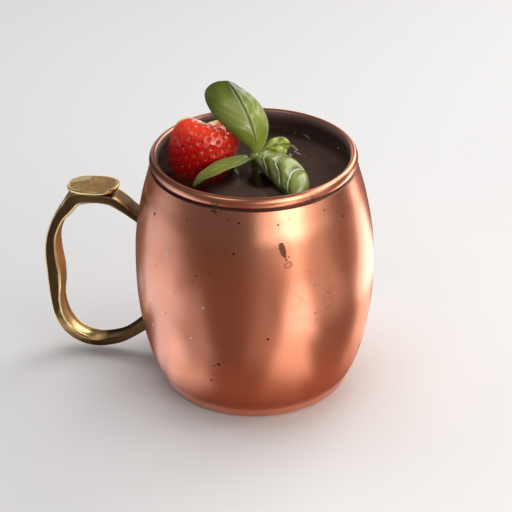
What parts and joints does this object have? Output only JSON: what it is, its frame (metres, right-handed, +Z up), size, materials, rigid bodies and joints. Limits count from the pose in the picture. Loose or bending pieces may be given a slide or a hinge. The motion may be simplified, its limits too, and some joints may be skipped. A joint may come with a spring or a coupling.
{
  "type": "mule cocktail in a copper mug",
  "caption": "Round-bellied copper mug with a cast brass handle, filled with a mixed drink and garnished with a halved strawberry and a basil sprig.",
  "frame": {"origin": "centre of the mug's flat base, on the surface it stands on", "axes": "+Z up along the mug's axis; the handle stands out along -X; +Y is the far side in the picture, seen from about 13 degrees to the right of -Y"},
  "size_m": [0.1272, 0.0898, 0.1175],
  "materials": {
    "copper": "polished",
    "brass": "polished",
    "drink": "gloss",
    "strawberry": "gloss",
    "basil": "satin"
  },
  "bodies": {
    "root": {"mug": "copper", "handle": "brass", "drink": "drink", "strawberry_half": "strawberry", "basil_sprig": "basil"}
  },
  "joints": []
}
